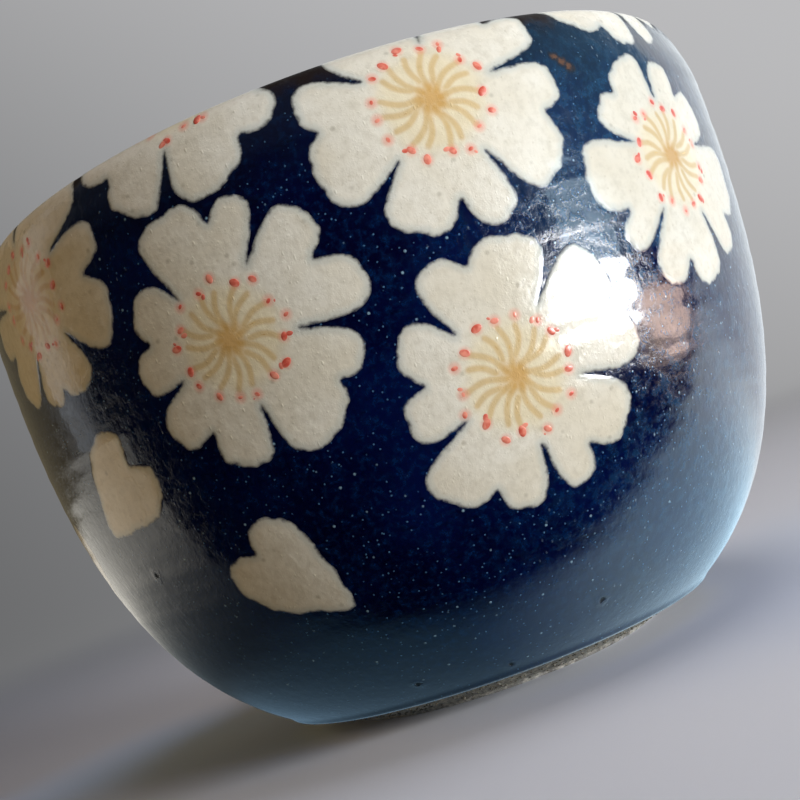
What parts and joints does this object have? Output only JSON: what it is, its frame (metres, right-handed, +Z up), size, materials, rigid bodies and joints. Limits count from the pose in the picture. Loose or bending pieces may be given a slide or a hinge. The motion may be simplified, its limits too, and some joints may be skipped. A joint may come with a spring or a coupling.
{
  "type": "guinomi sake cup",
  "caption": "Small round handleless stoneware sake cup, cobalt-blue outside with white cherry blossoms in flush glaze, cream inside, on a low bare clay foot.",
  "frame": {"origin": "centre of the foot ring's resting face", "axes": "+Z up along the cup's axis; -Y towards the side that the picture shows"},
  "size_m": [0.0655, 0.0652, 0.0465],
  "materials": {
    "stoneware_clay": "fired stoneware, matt",
    "bare_foot_clay": "bare grey-brown stoneware with pale grains, rough",
    "cream_glaze": "milky cream glaze, fine crackle, glossy",
    "cobalt_glaze": "deep mottled cobalt blue under clear gloss, thinner and greyer near the foot",
    "petal_white": "cream white under clear gloss, blue fringe at the edge, fine iron specks",
    "stamen_yellow": "raised ochre yellow enamel, glossy",
    "anther_red": "raised coral red enamel, glossy"
  },
  "bodies": {
    "root": {"clay_body": "stoneware_clay", "foot_ring": "bare_foot_clay", "inner_glaze": "cream_glaze", "cobalt_ground": "cobalt_glaze", "blossom_1_petals": "petal_white", "blossom_2_petals": "petal_white", "blossom_3_petals": "petal_white", "blossom_4_petals": "petal_white", "blossom_5_petals": "petal_white", "blossom_6_petals": "petal_white", "blossom_7_petals": "petal_white", "blossom_8_petals": "petal_white", "blossom_9_petals": "petal_white", "blossom_10_petals": "petal_white", "blossom_11_petals": "petal_white", "blossom_12_petals": "petal_white", "blossom_13_petals": "petal_white", "blossom_14_petals": "petal_white", "blossom_1_stamens": "stamen_yellow", "blossom_2_stamens": "stamen_yellow", "blossom_3_stamens": "stamen_yellow", "blossom_4_stamens": "stamen_yellow", "blossom_5_stamens": "stamen_yellow", "blossom_6_stamens": "stamen_yellow", "blossom_7_stamens": "stamen_yellow", "blossom_8_stamens": "stamen_yellow", "blossom_9_stamens": "stamen_yellow", "blossom_10_stamens": "stamen_yellow", "blossom_11_stamens": "stamen_yellow", "blossom_12_stamens": "stamen_yellow", "blossom_1_anthers": "anther_red", "blossom_2_anthers": "anther_red", "blossom_3_anthers": "anther_red", "blossom_4_anthers": "anther_red", "blossom_5_anthers": "anther_red", "blossom_6_anthers": "anther_red", "blossom_7_anthers": "anther_red", "blossom_8_anthers": "anther_red", "blossom_9_anthers": "anther_red", "blossom_10_anthers": "anther_red", "blossom_11_anthers": "anther_red", "blossom_12_anthers": "anther_red", "blossom_13_anthers": "anther_red", "loose_petal_1": "petal_white", "loose_petal_2": "petal_white", "loose_petal_3": "petal_white", "loose_petal_4": "petal_white", "loose_petal_5": "petal_white", "loose_petal_6": "petal_white", "loose_petal_7": "petal_white"}
  },
  "joints": []
}
